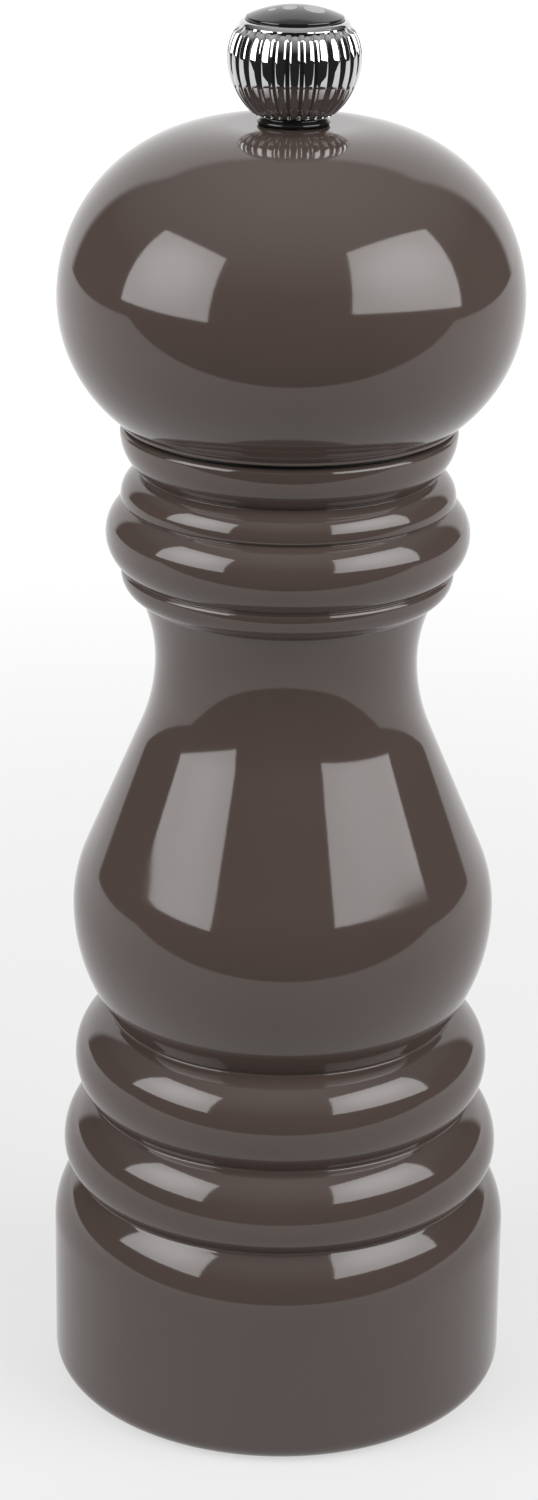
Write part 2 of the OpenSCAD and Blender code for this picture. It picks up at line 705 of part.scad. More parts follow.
module knob_washer() {
    color(black) difference() {
        rotate_extrude($fn = small_fn)
            polygon([[0, crown_z], [knob_washer_r - knob_washer_edge, crown_z],
                     [knob_washer_r, crown_z + knob_washer_edge],
                     [knob_washer_r, knob_z], [0, knob_z]]);
        translate([0, 0, crown_z - cut]) cylinder(r = insert_bore_r, h = knob_washer_h + 2 * cut, $fn = small_fn);
    }
}

module knob_shell() {
    color(chrome) difference() {
        rotate_extrude($fn = turned_fn) polygon(knob_outline());
        translate([0, 0, knob_z - cut])
            cylinder(r = insert_r + fit_gap, h = insert_top_z - knob_z + cut, $fn = small_fn);
        translate([0, 0, cap_z]) cylinder(r = cap_r + fit_gap, h = cap_seat + cut, $fn = turned_fn);
        // Grooves between the flutes, cut down to a slightly smaller ball
        difference() {
            for (i = [0:flute_n - 1]) rotate([0, 0, (i + 0.5) * 360 / flute_n])
                translate([0, -flute_groove_w / 2, knob_z - cut])
                    cube([knob_r + cut, flute_groove_w, rim_z - knob_z - (knob_rim_r - cap_r) / 2 + cut]);
            rotate_extrude($fn = turned_fn) polygon(knob_outline(flute_groove_depth));
        }
    }
}

module knob_insert() {
    color(brass) translate([0, 0, knob_z]) ring(insert_r, insert_bore_r, insert_top_z - knob_z);
}

module knob_cap() {
    dome_r = (cap_r * cap_r + pow(cap_h - cap_edge_h, 2)) / (2 * (cap_h - cap_edge_h));
    sweep = asin(cap_r / dome_r);
    dome = [for (i = [0:arc_steps])
        let (a = sweep * (1 - i / arc_steps))
        [dome_r * sin(a), cap_z + cap_h - dome_r * (1 - cos(a))]];
    color(black) rotate_extrude($fn = turned_fn) polygon(concat([[0, cap_z], [cap_r, cap_z]], dome));
}

body();
housing();
housing_screws();
ring_burr();
bridge();
bridge_rivets();
shaft_bush();
spring_washer();
spring();
thrust_washer();
male_burr();
shaft();
foot_washer();
foot_nut();
glide_ring();
head();
drive_plate();
drive_plate_screws();
knob_washer();
knob_shell();
knob_insert();
knob_cap();
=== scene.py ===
"""Pepper mill: a turned and lacquered beech body and head, a fluted chrome knob and a steel grinder.

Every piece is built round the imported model, in its frame: metres, +Z up, the foot's centre at the origin.
Sizes are written in millimetres and turned to metres by mm().
"""

from __future__ import annotations

import logging
import math
from collections.abc import Callable, Sequence
from dataclasses import dataclass, field
from enum import Enum
from functools import cache
from typing import Any

import bmesh
import bpy
from mathutils import Matrix, Vector


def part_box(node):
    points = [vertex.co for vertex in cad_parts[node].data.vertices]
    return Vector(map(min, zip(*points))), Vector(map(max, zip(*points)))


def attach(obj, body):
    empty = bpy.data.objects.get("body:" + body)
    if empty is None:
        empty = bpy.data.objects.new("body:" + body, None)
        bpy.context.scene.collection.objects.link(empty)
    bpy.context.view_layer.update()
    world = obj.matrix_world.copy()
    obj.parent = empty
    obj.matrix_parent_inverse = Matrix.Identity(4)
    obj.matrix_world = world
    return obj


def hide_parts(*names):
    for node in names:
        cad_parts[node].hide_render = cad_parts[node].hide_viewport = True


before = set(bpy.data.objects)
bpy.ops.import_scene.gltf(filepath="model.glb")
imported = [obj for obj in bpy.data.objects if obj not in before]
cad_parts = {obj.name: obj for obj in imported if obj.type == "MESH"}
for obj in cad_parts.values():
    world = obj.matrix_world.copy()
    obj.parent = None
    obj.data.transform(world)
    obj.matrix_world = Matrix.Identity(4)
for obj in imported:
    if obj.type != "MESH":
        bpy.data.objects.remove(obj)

log = logging.getLogger("pepper_mill")
Point = tuple[float, float]
MERGE_MM = 0.0005
FLAT_MM = 0.0002


def mm(length: float) -> float:
    """Turns millimetres to metres."""
    return length * 0.001


@cache
def low(node: str) -> Vector:
    """A CAD node's lowest corner, in millimetres."""
    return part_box(node)[0] * 1000


@cache
def high(node: str) -> Vector:
    """A CAD node's highest corner, in millimetres."""
    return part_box(node)[1] * 1000


def ease(low_end: float, high_end: float, value: float) -> float:
    """A smooth step.

    Args:
        low_end: the value at and below which the result is 0.
        high_end: the value at and above which the result is 1.
        value: the value to place between them.

    Returns:
        A share from 0 to 1 with no kink at either end.
    """
    t = min(1.0, max(0.0, (value - low_end) / (high_end - low_end)))
    return t * t * (3 - 2 * t)


# ---------------------------------------------------------------- finishes


def linear(hex_colour: str) -> tuple[float, float, float, float]:
    """Turns an sRGB hex colour to the linear values that the shaders use.

    Args:
        hex_colour: six hexadecimal digits.

    Returns:
        Linear red, green and blue, and an alpha of 1.
    """
    parts = [int(hex_colour[i : i + 2], 16) / 255 for i in (0, 2, 4)]
    r, g, b = (c / 12.92 if c <= 0.04045 else ((c + 0.055) / 1.055) ** 2.4 for c in parts)
    return (r, g, b, 1.0)


def add(
    tree: bpy.types.NodeTree, kind: str, sockets: dict[Any, Any] | None = None, **settings: Any
) -> bpy.types.Node:
    """Adds one shader node.

    Args:
        tree: the node tree to add it to.
        kind: the node's Blender type.
        sockets: for each input, by name or number, a value or the output socket that feeds it.
        **settings: the node's own properties.

    Returns:
        The new node.
    """
    made = tree.nodes.new(kind)
    for name, value in settings.items():
        setattr(made, name, value)
    for name, value in (sockets or {}).items():
        if isinstance(value, bpy.types.NodeSocket):
            tree.links.new(value, made.inputs[name])
        else:
            made.inputs[name].default_value = value
    return made


@dataclass(frozen=True)
class Finish:
    """A surface as its maker left it, which paints a procedural material on Object coordinates."""

    name: str
    roughness: float
    ior: float = 1.5

    def material(self) -> bpy.types.Material:
        """Makes the material, or finds it if it has been made before.

        Returns:
            The material, named for what the surface is.
        """
        known = bpy.data.materials.get(self.name)
        if known is not None:
            return known
        made = bpy.data.materials.new(self.name)
        made.use_nodes = True
        tree = made.node_tree
        tree.nodes.clear()
        shader = add(tree, "ShaderNodeBsdfPrincipled", {"Roughness": self.roughness, "IOR": self.ior})
        add(tree, "ShaderNodeOutputMaterial", {"Surface": shader.outputs["BSDF"]})
        place = add(tree, "ShaderNodeTexCoord").outputs["Object"]
        self.paint(tree, shader, place)
        return made

    def paint(self, tree: bpy.types.NodeTree, shader: bpy.types.Node, place: bpy.types.NodeSocket) -> None:
        """Adds this finish's colour, roughness and bump.

        Args:
            tree: the material's node tree.
            shader: the Principled shader to feed.
            place: the Object coordinates.
        """
        raise NotImplementedError


@dataclass(frozen=True)
class Lacquer(Finish):
    """Opaque nitrocellulose lacquer, sprayed in several coats over sanded beech and polished.

    The eye reads it from its mirror-like gloss with faintly ragged edges to each reflection: the pores of the
    wood show through as fine upright ripples, over the broad, soft waves of the spraying.
    """

    colour: str = "4B403C"
    deep_colour: str = "453B37"
    pore_mm: float = 0.35
    pore_length_mm: float = 5.0
    wave_mm: float = 6.0
    pore_height_mm: float = 0.0012
    wave_height_mm: float = 0.006

    def paint(self, tree: bpy.types.NodeTree, shader: bpy.types.Node, place: bpy.types.NodeSocket) -> None:
        """Adds the cloudy colour, and the bumps of pores and spray waves."""
        cloud = add(tree, "ShaderNodeTexNoise", {"Vector": place, "Scale": 1 / mm(14), "Detail": 3.0})
        tint = add(
            tree,
            "ShaderNodeMix",
            {0: cloud.outputs["Fac"], 6: linear(self.colour), 7: linear(self.deep_colour)},
            data_type="RGBA",
        )
        stretched = add(
            tree,
            "ShaderNodeMapping",
            {"Vector": place, "Scale": (1.0, 1.0, self.pore_mm / self.pore_length_mm)},
        )
        pores = add(
            tree,
            "ShaderNodeTexNoise",
            {"Vector": stretched.outputs["Vector"], "Scale": 1 / mm(self.pore_mm), "Detail": 2.0},
        )
        waves = add(
            tree,
            "ShaderNodeTexNoise",
            {"Vector": place, "Scale": 1 / mm(self.wave_mm), "Detail": 1.0, "Roughness": 0.4},
        )
        wave_bump = add(
            tree,
            "ShaderNodeBump",
            {"Height": waves.outputs["Fac"], "Strength": 1.0, "Distance": mm(self.wave_height_mm)},
        )
        pore_bump = add(
            tree,
            "ShaderNodeBump",
            {
                "Height": pores.outputs["Fac"],
                "Strength": 1.0,
                "Distance": mm(self.pore_height_mm),
                "Normal": wave_bump.outputs["Normal"],
            },
        )
        tree.links.new(tint.outputs[2], shader.inputs["Base Color"])
        tree.links.new(pore_bump.outputs["Normal"], shader.inputs["Normal"])


@dataclass(frozen=True)
class Timber(Finish):
    """Bare steamed beech, as the drill and the lathe leave it inside the bores.

    The eye reads it from the warm tan ground, the slow light and dark of the growth rings, and the short dark
    flecks of the rays, which run with the length of the mill.
    """

    light: str = "D3AA7C"
    dark: str = "B4875A"
    fleck: str = "7E5534"
    ring_mm: float = 3.0
    fleck_mm: float = 0.5
    fleck_length_mm: float = 3.5

    def paint(self, tree: bpy.types.NodeTree, shader: bpy.types.Node, place: bpy.types.NodeSocket) -> None:
        """Adds growth rings, ray flecks and the turned surface's fuzz."""
        along = add(tree, "ShaderNodeMapping", {"Vector": place, "Scale": (1.0, 1.0, 0.08)})
        rings = add(
            tree,
            "ShaderNodeTexNoise",
            {"Vector": along.outputs["Vector"], "Scale": 1 / mm(self.ring_mm), "Detail": 4.0},
        )
        ground = add(
            tree,
            "ShaderNodeValToRGB",
            {"Fac": rings.outputs["Fac"]},
        )
        ground.color_ramp.elements[0].position = 0.35
        ground.color_ramp.elements[0].color = linear(self.dark)
        ground.color_ramp.elements[1].position = 0.62
        ground.color_ramp.elements[1].color = linear(self.light)
        short = add(
            tree,
            "ShaderNodeMapping",
            {"Vector": place, "Scale": (1.0, 1.0, self.fleck_mm / self.fleck_length_mm)},
        )
        flecks = add(
            tree,
            "ShaderNodeTexNoise",
            {"Vector": short.outputs["Vector"], "Scale": 1 / mm(self.fleck_mm), "Detail": 1.0},
        )
        shown = add(
            tree,
            "ShaderNodeMapRange",
            {"Value": flecks.outputs["Fac"], "From Min": 0.6, "From Max": 0.7, "To Max": 0.7},
        )
        mixed = add(tree, "ShaderNodeMix", data_type="RGBA")
        tree.links.new(shown.outputs["Result"], mixed.inputs[0])
        tree.links.new(ground.outputs["Color"], mixed.inputs[6])
        mixed.inputs[7].default_value = linear(self.fleck)
        tree.links.new(mixed.outputs[2], shader.inputs["Base Color"])
        bump = add(
            tree,
            "ShaderNodeBump",
            {"Height": flecks.outputs["Fac"], "Strength": 0.6, "Distance": mm(0.05)},
        )
        tree.links.new(bump.outputs["Normal"], shader.inputs["Normal"])


@dataclass(frozen=True)
class Metal(Finish):
    """A bare or plated metal. The grain that its making left turns the light along its lines.

    Args:
        colour: the colour of its reflections, face on.
        shade: the colour in its darker patches, where oil, wear or heat has dulled it.
        patch_mm: the size of those patches.
        line_mm: the spacing of the fine lines that turning, rolling or grinding left.
        line_height_mm: the depth of those lines.
        rough_spread: how far the roughness wanders from patch to patch.
    """

    colour: str = "C4C5C6"
    shade: str = "AFB0B2"
    patch_mm: float = 4.0
    line_mm: float = 0.15
    line_height_mm: float = 0.001
    rough_spread: float = 0.05

    def paint(self, tree: bpy.types.NodeTree, shader: bpy.types.Node, place: bpy.types.NodeSocket) -> None:
        """Adds the patches, the wandering roughness and the fine lines."""
        shader.inputs["Metallic"].default_value = 1.0
        patches = add(
            tree, "ShaderNodeTexNoise", {"Vector": place, "Scale": 1 / mm(self.patch_mm), "Detail": 3.0}
        )
        mixed = add(tree, "ShaderNodeMix", data_type="RGBA")
        tree.links.new(patches.outputs["Fac"], mixed.inputs[0])
        mixed.inputs[6].default_value = linear(self.colour)
        mixed.inputs[7].default_value = linear(self.shade)
        tree.links.new(mixed.outputs[2], shader.inputs["Base Color"])
        rough = add(
            tree,
            "ShaderNodeMapRange",
            {
                "Value": patches.outputs["Fac"],
                "From Min": 0.3,
                "From Max": 0.7,
                "To Min": max(0.0, self.roughness - self.rough_spread),
                "To Max": self.roughness + self.rough_spread,
            },
        )
        tree.links.new(rough.outputs["Result"], shader.inputs["Roughness"])
        lines = add(
            tree,
            "ShaderNodeTexNoise",
            {"Vector": place, "Scale": 1 / mm(self.line_mm), "Detail": 1.0},
        )
        bump = add(
            tree,
            "ShaderNodeBump",
            {"Height": lines.outputs["Fac"], "Strength": 1.0, "Distance": mm(self.line_height_mm)},
        )
        tree.links.new(bump.outputs["Normal"], shader.inputs["Normal"])


@dataclass(frozen=True)
class Disc:
    """A round spot of print on the cap.

    Args:
        across: how far its centre lies along x, in millimetres.
        r: its radius in millimetres.
    """

    across: float
    r: float


@dataclass(frozen=True)
class PrintedGloss(Finish):
    """Gloss black plastic, pad-printed in grey with three dots of growing size for the fineness of the grind.

    The eye reads it from its sharp reflections and from the flat grey of the ink, which is less shiny.
    """

    colour: str = "161617"
    ink: str = "8C8C8C"
    ink_roughness: float = 0.3
    blur_mm: float = 0.04
    row_y_mm: float = -1.4
    discs: tuple[Disc, ...] = (Disc(-2.7, 0.5), Disc(-0.65, 0.85), Disc(2.25, 1.25))

    def paint(self, tree: bpy.types.NodeTree, shader: bpy.types.Node, place: bpy.types.NodeSocket) -> None:
        """Adds the printed dots, and the ink's own gloss."""
        level = (1.0, 1.0, 0.0)
        flat = add(tree, "ShaderNodeVectorMath", {0: place, 1: level}, operation="MULTIPLY").outputs[0]
        inked = None
        for disc in self.discs:
            centre = (mm(disc.across), mm(self.row_y_mm), 0.0)
            off = add(tree, "ShaderNodeVectorMath", {0: flat, 1: centre}, operation="DISTANCE").outputs[1]
            spot = add(
                tree,
                "ShaderNodeMapRange",
                {"Value": off, "From Min": mm(disc.r + self.blur_mm), "From Max": mm(disc.r - self.blur_mm)},
            ).outputs["Result"]
            if inked is None:
                inked = spot
            else:
                inked = add(tree, "ShaderNodeMath", {0: spot, 1: inked}, operation="MAXIMUM").outputs[0]
        mixed = add(
            tree,
            "ShaderNodeMix",
            {0: inked, 6: linear(self.colour), 7: linear(self.ink)},
            data_type="RGBA",
        )
        rough = add(
            tree,
            "ShaderNodeMapRange",
            {"Value": inked, "To Min": self.roughness, "To Max": self.ink_roughness},
        )
        tree.links.new(mixed.outputs[2], shader.inputs["Base Color"])
        tree.links.new(rough.outputs["Result"], shader.inputs["Roughness"])


@dataclass(frozen=True)
class Plastic(Finish):
    """An injection-moulded plastic, which the eye reads from its even colour and the mould's faint ripple."""

    colour: str = "1A1A1C"
    shade: str = "141416"
    ripple_mm: float = 1.5
    ripple_height_mm: float = 0.002

    def paint(self, tree: bpy.types.NodeTree, shader: bpy.types.Node, place: bpy.types.NodeSocket) -> None:
        """Adds the slight clouding and the mould's ripple."""
        cloud = add(
            tree, "ShaderNodeTexNoise", {"Vector": place, "Scale": 1 / mm(self.ripple_mm), "Detail": 2.0}
        )
        mixed = add(tree, "ShaderNodeMix", data_type="RGBA")
        tree.links.new(cloud.outputs["Fac"], mixed.inputs[0])
        mixed.inputs[6].default_value = linear(self.colour)
        mixed.inputs[7].default_value = linear(self.shade)
        tree.links.new(mixed.outputs[2], shader.inputs["Base Color"])
        bump = add(
            tree,
            "ShaderNodeBump",
            {"Height": cloud.outputs["Fac"], "Strength": 1.0, "Distance": mm(self.ripple_height_mm)},
        )
        tree.links.new(bump.outputs["Normal"], shader.inputs["Normal"])


class Finishes(Enum):
    """The finishes of the mill, each with the record's material slot that it belongs to."""

    LACQUER = ("lacquered_beech", Lacquer("taupe_lacquer_over_beech", roughness=0.07))
    TIMBER = ("lacquered_beech", Timber("bare_steamed_beech", roughness=0.62))
    CHROME = (
        "chrome_plate",
        Metal(
            "chrome_plated_zinc",
            0.045,
            colour="C6C6C6",
            shade="BDBDBD",
            rough_spread=0.015,
            line_height_mm=0.0004,
        ),
    )
    CAP = ("black_gloss", PrintedGloss("printed_gloss_black_abs", 0.08))
    WASHER = ("black_gloss", Plastic("gloss_black_abs", 0.1))
    RUBBED = ("black_nylon", Plastic("moulded_black_nylon", 0.3))
    SHEET_STEEL = (
        "bright_steel",
        Metal("cold_rolled_stainless_sheet", 0.26, colour="B9BABB", shade="A3A4A6"),
    )
    BURR_STEEL = (
        "burr_steel",
        Metal(
            "case_hardened_burr_steel",
            0.38,
            colour="7D7E80",
            shade="58595B",
            patch_mm=1.5,
            rough_spread=0.1,
            line_height_mm=0.003,
        ),
    )
    SCREW_STEEL = ("screw_steel", Metal("zinc_plated_screw_steel", 0.3, colour="A6A7A5", shade="8D8E8A"))
    SPRING_STEEL = ("spring_steel", Metal("drawn_spring_steel", 0.22, colour="8F9092", shade="77787B"))
    NYLON = ("nylon", Plastic("moulded_natural_nylon", 0.42, ior=1.53, colour="E4E0D4", shade="DAD5C6"))
    BRASS = ("brass", Metal("turned_brass", 0.2, colour="D8B05E", shade="C39A4B"))

    @property
    def slot(self) -> str:
        """The record's material slot."""
        return self.value[0]

    @property
    def material(self) -> bpy.types.Material:
        """The Blender material."""
        return self.value[1].material()


# ---------------------------------------------------------------- making pieces


@dataclass
class Outline:
    """The cross-section of a turned piece: a wire in the plane y = 0, with the radius along x.

    Args:
        step: the spacing of points along curves, in millimetres.
    """

    step: float = 0.6
    wire: bmesh.types.BMesh = field(default_factory=bmesh.new)
    tip: bmesh.types.BMVert | None = None
    first: bmesh.types.BMVert | None = None
    rounded: list[tuple[bmesh.types.BMVert, float]] = field(default_factory=list)

    def start(self, r: float, z: float) -> Outline:
        """Puts down the first point, at a radius and a height."""
        self.tip = self.first = bmesh.ops.create_vert(self.wire, co=(mm(r), 0.0, mm(z)))["vert"][0]
        return self

    def line(self, r: float, z: float, pieces: int = 1) -> Outline:
        """Draws a straight edge.

        Args:
            r: the radius at its end.
            z: the height at its end.
            pieces: how many edges it is divided into.

        Returns:
            The outline itself, so that calls can follow each other.
        """
        way = (Vector((mm(r), 0.0, mm(z))) - self.tip.co) / pieces
        for _ in range(pieces):
            made = bmesh.ops.extrude_vert_indiv(self.wire, verts=[self.tip])
            self.tip = made["verts"][0]
            bmesh.ops.translate(self.wire, verts=[self.tip], vec=way)
        return self

    def arc(self, centre: Point, r: float, z: float, at_least: int = 6) -> Outline:
        """Draws an arc by turning the tip about a centre.

        Args:
            centre: the radius and height of the arc's centre.
            r: the radius at the arc's end.
            z: the height at the arc's end.
            at_least: the smallest number of edges.

        Returns:
            The outline itself.
        """
        middle = Vector((mm(centre[0]), 0.0, mm(centre[1])))
        here, there = self.tip.co - middle, Vector((mm(r), 0.0, mm(z))) - middle
        sweep = math.atan2(there.z, there.x) - math.atan2(here.z, here.x)
        sweep = (sweep + math.pi) % math.tau - math.pi
        steps = max(at_least, math.ceil(abs(sweep) * here.length / mm(self.step)))
        made = bmesh.ops.spin(
            self.wire,
            geom=[self.tip],
            cent=middle,
            axis=(0.0, -1.0, 0.0),
            angle=sweep,
            steps=steps,
            use_merge=False,
        )
        self.tip = next(part for part in made["geom_last"] if isinstance(part, bmesh.types.BMVert))
        return self

    def swell(self, widest: Point, end: Point, at_least: int = 6) -> Outline:
        """Draws an arc that stands upright at the widest or narrowest ring of a bead.

        Args:
            widest: the ring's radius and height. The arc runs to or from it.
            end: the arc's other end.
            at_least: the smallest number of edges.

        Returns:
            The outline itself.
        """
        across, up = widest[0] - end[0], end[1] - widest[1]
        radius = (across * across + up * up) / (2 * across)
        here = Vector((self.tip.co.x * 1000, self.tip.co.z * 1000))
        to_end = (here - Vector(widest)).length < (here - Vector(end)).length
        return self.arc((widest[0] - radius, widest[1]), *(end if to_end else widest), at_least=at_least)

    def round(self, radius: float) -> Outline:
        """Marks the last corner to be rounded by a radius in millimetres."""
        self.rounded.append((self.tip, radius))
        return self

    def close(self) -> Outline:
        """Joins the last point to the first."""
        bmesh.ops.contextual_create(self.wire, geom=[self.tip, self.first])
        return self

    def turn(self, segments: int) -> bmesh.types.BMesh:
        """Rounds the marked corners and turns the outline about the axis.

        Args:
            segments: how many segments the full turn has.

        Returns:
            The turned mesh, with its doubles merged and its faces outward.
        """
        for radius in sorted({radius for _, radius in self.rounded}):
            bmesh.ops.bevel(
                self.wire,
                geom=[corner for corner, size in self.rounded if size == radius],
                offset=mm(radius),
                offset_type="OFFSET",
                segments=4,
                profile=0.5,
                affect="VERTICES",
                clamp_overlap=True,
                material=-1,
            )
        mesh = self.wire
        bmesh.ops.spin(
            mesh,
            geom=mesh.verts[:] + mesh.edges[:],
            cent=(0.0, 0.0, 0.0),
            axis=(0.0, 0.0, 1.0),
            angle=math.tau,
            steps=segments,
            use_merge=True,
        )
        return tidy(mesh)


def tidy(mesh: bmesh.types.BMesh) -> bmesh.types.BMesh:
    """Merges doubles, drops faces that have no area and loose edges, and turns the rest outward."""
    bmesh.ops.remove_doubles(mesh, verts=mesh.verts, dist=mm(MERGE_MM))
    bmesh.ops.dissolve_degenerate(mesh, edges=mesh.edges, dist=mm(FLAT_MM))
    bmesh.ops.delete(mesh, geom=[edge for edge in mesh.edges if not edge.link_faces], context="EDGES")
    bmesh.ops.recalc_face_normals(mesh, faces=mesh.faces)
    return mesh


def shape(mesh: bmesh.types.BMesh, push: Callable[[float, float, float], float]) -> None:
    """Moves points towards or away from the axis.

    Args:
        mesh: the mesh to shape.
        push: gives the change of radius from a point's radius, its angle in radians and its height. Lengths
            are in millimetres.
    """
    for vert in mesh.verts:
        r = math.hypot(vert.co.x, vert.co.y) * 1000
        if r < 0.01:
            continue
        share = 1 + push(r, math.atan2(vert.co.y, vert.co.x), vert.co.z * 1000) / r
        vert.co = (vert.co.x * share, vert.co.y * share, vert.co.z)


def piece(
    mesh: bmesh.types.BMesh,
    name: str,
    body: str,
    finishes: Sequence[Finishes],
    replaces: Sequence[str] = (),
    sharp_deg: float = 38.0,
) -> bpy.types.Object:
    """Makes a finished object from a mesh and puts it on its CAD body.

    Args:
        mesh: the shape, in place, in metres.
        name: the piece's name.
        body: the CAD body that it rides on.
        finishes: its finishes, in the order of the faces' material numbers.
        replaces: the CAD nodes that it stands for.
        sharp_deg: edges that bend more than this stay crisp.

    Returns:
        The object.
    """
    data = bpy.data.meshes.new(name)
    for face in mesh.faces:
        face.smooth = True
    mesh.to_mesh(data)
    mesh.free()
    data.set_sharp_from_angle(angle=math.radians(sharp_deg))
    made = bpy.data.objects.new(name, data)
    bpy.context.scene.collection.objects.link(made)
    for finish in finishes:
        data.materials.append(finish.material)
    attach(made, body)
    if replaces:
        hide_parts(*replaces)
    log.info("%s: %d faces on %s", name, len(data.polygons), body)
    return made


# ---------------------------------------------------------------- the wooden parts


@dataclass
class MillBody:
    """The turned body, lacquered outside and bare in its bores. Sizes are in millimetres."""

    base_edge: float = 3.0
    shoulder_z: float = 21.0
    groove3: Point = (26.4, 28.6)
    bead2: Point = (28.3, 32.4)
    groove2: Point = (24.5, 39.2)
    bead1: Point = (26.75, 44.6)
    groove1: Point = (22.1, 51.3)
    belly: Point = (26.9, 65.7)
    belly_curve: float = 18.5
    neck: Point = (16.45, 99.0)
    neck_curve: float = 24.0
    roll_foot: Point = (18.4, 107.4)
    roll: Point = (20.7, 110.5)
    collar_groove: Point = (20.3, 111.1)
    collar_bead: Point = (22.6, 115.5)
    crease: Point = (20.3, 119.6)
    step: Point = (20.75, 120.2)
    v_groove: Point = (18.2, 123.4)
    collar_r: float = 20.8
    collar_edge: float = 0.6
    socket_r: float = 14.0
    socket_floor_z: float = 110.4
    hopper_r: float = 11.5
    pocket_r: float = 17.6
    pocket_top_z: float = 33.8
    recess_r: float = 24.0
    recess_top_z: float = 9.0
    pooling: float = 0.3
    bore_edge: float = 0.25
    segments: int = 144

    def outline(self) -> Outline:
        """Draws the body's cross-section, up the outside and down the bores.

        Returns:
            The closed outline.
        """
        foot_z, base_r, seam = low("body").z, high("body").x, high("body").z
        o = Outline(step=0.62).start(base_r - self.base_edge, foot_z)
        o.swell((base_r, foot_z + self.base_edge), (base_r - self.base_edge, foot_z))
        o.line(base_r, self.shoulder_z, 12)
        o.swell((base_r, self.shoulder_z), self.groove3).round(self.pooling)
        o.swell(self.bead2, self.groove3).swell(self.bead2, self.groove2).round(self.pooling)
        o.swell(self.bead1, self.groove2).swell(self.bead1, self.groove1).round(self.pooling)
        o.swell(self.belly, self.groove1)
        self.belly_to_neck(o)
        o.swell(self.neck, self.roll_foot).round(self.pooling)
        o.swell(self.roll, self.roll_foot).swell(self.roll, self.collar_groove, at_least=3).round(0.15)
        o.swell(self.collar_bead, self.collar_groove).swell(self.collar_bead, self.crease).round(0.15)
        o.swell(self.step, self.crease, at_least=3).swell(self.step, self.v_groove).round(self.pooling)
        top = (self.collar_r, seam - self.collar_edge)
        o.swell(top, self.v_groove).swell(top, (self.collar_r - self.collar_edge, seam))
        o.line(self.socket_r, seam, 4).round(self.bore_edge).line(self.socket_r, self.socket_floor_z, 8)
        o.line(self.hopper_r, self.socket_floor_z).round(self.bore_edge)
        o.line(self.hopper_r, self.pocket_top_z, 24)
        o.line(self.pocket_r, self.pocket_top_z, 2).line(self.pocket_r, self.recess_top_z, 8)
        o.line(self.recess_r, self.recess_top_z, 2).line(self.recess_r, foot_z, 4).round(self.bore_edge)
        return o.close()

    def belly_to_neck(self, outline: Outline) -> None:
        """Draws the S from the belly's widest ring to the neck's narrowest: two arcs, and the line between.

        Args:
            outline: the outline to draw it on.
        """
        out = Vector((self.belly[0] - self.belly_curve, self.belly[1]))
        inward = Vector((self.neck[0] + self.neck_curve, self.neck[1]))
        across = inward - out
        reach = (self.belly_curve + self.neck_curve) / across.length
        angle = math.atan2(across.y, across.x) - math.acos(reach)
        way = Vector((math.cos(angle), math.sin(angle)))
        outline.arc(tuple(out), *(out + self.belly_curve * way))
        outline.line(*(inward - self.neck_curve * way), 24).arc(tuple(inward), *self.neck)

    def build(self) -> None:
        """Turns the body and paints its bores as bare wood."""
        mesh = self.outline().turn(self.segments)
        seam = high("body").z
        bores = (
            (self.recess_top_z + 0.1, self.recess_r),
            (self.pocket_top_z + 0.1, self.pocket_r),
            (self.socket_floor_z - 0.1, self.hopper_r),
            (seam - 0.3, self.socket_r),
        )
        for face in mesh.faces:
            centre = face.calc_center_median() * 1000
            bore_r = next((r for top, r in bores if centre.z < top), 0.0)
            face.material_index = 1 if math.hypot(centre.x, centre.y) < bore_r + 0.1 else 0
        piece(mesh, "turned_body", "body", [Finishes.LACQUER, Finishes.TIMBER], ["body"])


@dataclass
class MillHead:
    """The turned head with the spigot that turns in the body, and the black glide ring between the two."""

    foot_edge: float = 0.5
    foot_r: float = 20.9
    crown_curve: float = 21.0
    spigot_r: float = 13.7
    bore_r: float = 4.2
    edge: float = 0.3
    segments: int = 144

    def outline(self) -> Outline:
        """Draws the head's cross-section, up the outside and down the bore.

        Returns:
            The closed outline.
        """
        crown, widest, spigot = high("head").z, high("head").x, low("head").z
        foot = high("glide_ring").z
        belly_z = crown - self.crown_curve
        o = Outline(step=0.62).start(self.foot_r - self.foot_edge, foot)
        o.swell((self.foot_r, foot + self.foot_edge), (self.foot_r - self.foot_edge, foot), at_least=5)
        o.swell((widest, belly_z), (self.foot_r, foot + self.foot_edge))
        o.swell((widest, belly_z), (widest - self.crown_curve, crown))
        o.line(self.bore_r, crown, 5).round(self.edge).line(self.bore_r, spigot, 10).round(self.edge)
        o.line(self.spigot_r, spigot, 3).round(self.edge).line(self.spigot_r, foot, 6)
        return o.close()

    def build(self) -> None:
        """Turns the head, with its bore and spigot in bare wood, and the glide ring."""
        foot, crown = high("glide_ring").z, high("head").z
        mesh = self.outline().turn(self.segments)
        for face in mesh.faces:
            centre = face.calc_center_median() * 1000
            on_axis_side = math.hypot(centre.x, centre.y) < self.bore_r + 0.1
            in_bore = on_axis_side and centre.z < crown - 0.4
            face.material_index = 1 if in_bore or centre.z < foot - 0.05 else 0
        piece(mesh, "turned_head", "head", [Finishes.LACQUER, Finishes.TIMBER], ["head"])

        bottom, outer, inner = low("glide_ring").z, high("glide_ring").x, self.spigot_r + 0.35
        o = Outline(step=0.5).start(inner, bottom).round(0.1).line(outer, bottom).round(0.2)
        o.line(outer, foot).round(0.2).line(inner, foot).round(0.1).close()
        piece(o.turn(96), "glide_ring_moulded", "glide", [Finishes.RUBBED], ["glide_ring"])


# ---------------------------------------------------------------- the knob


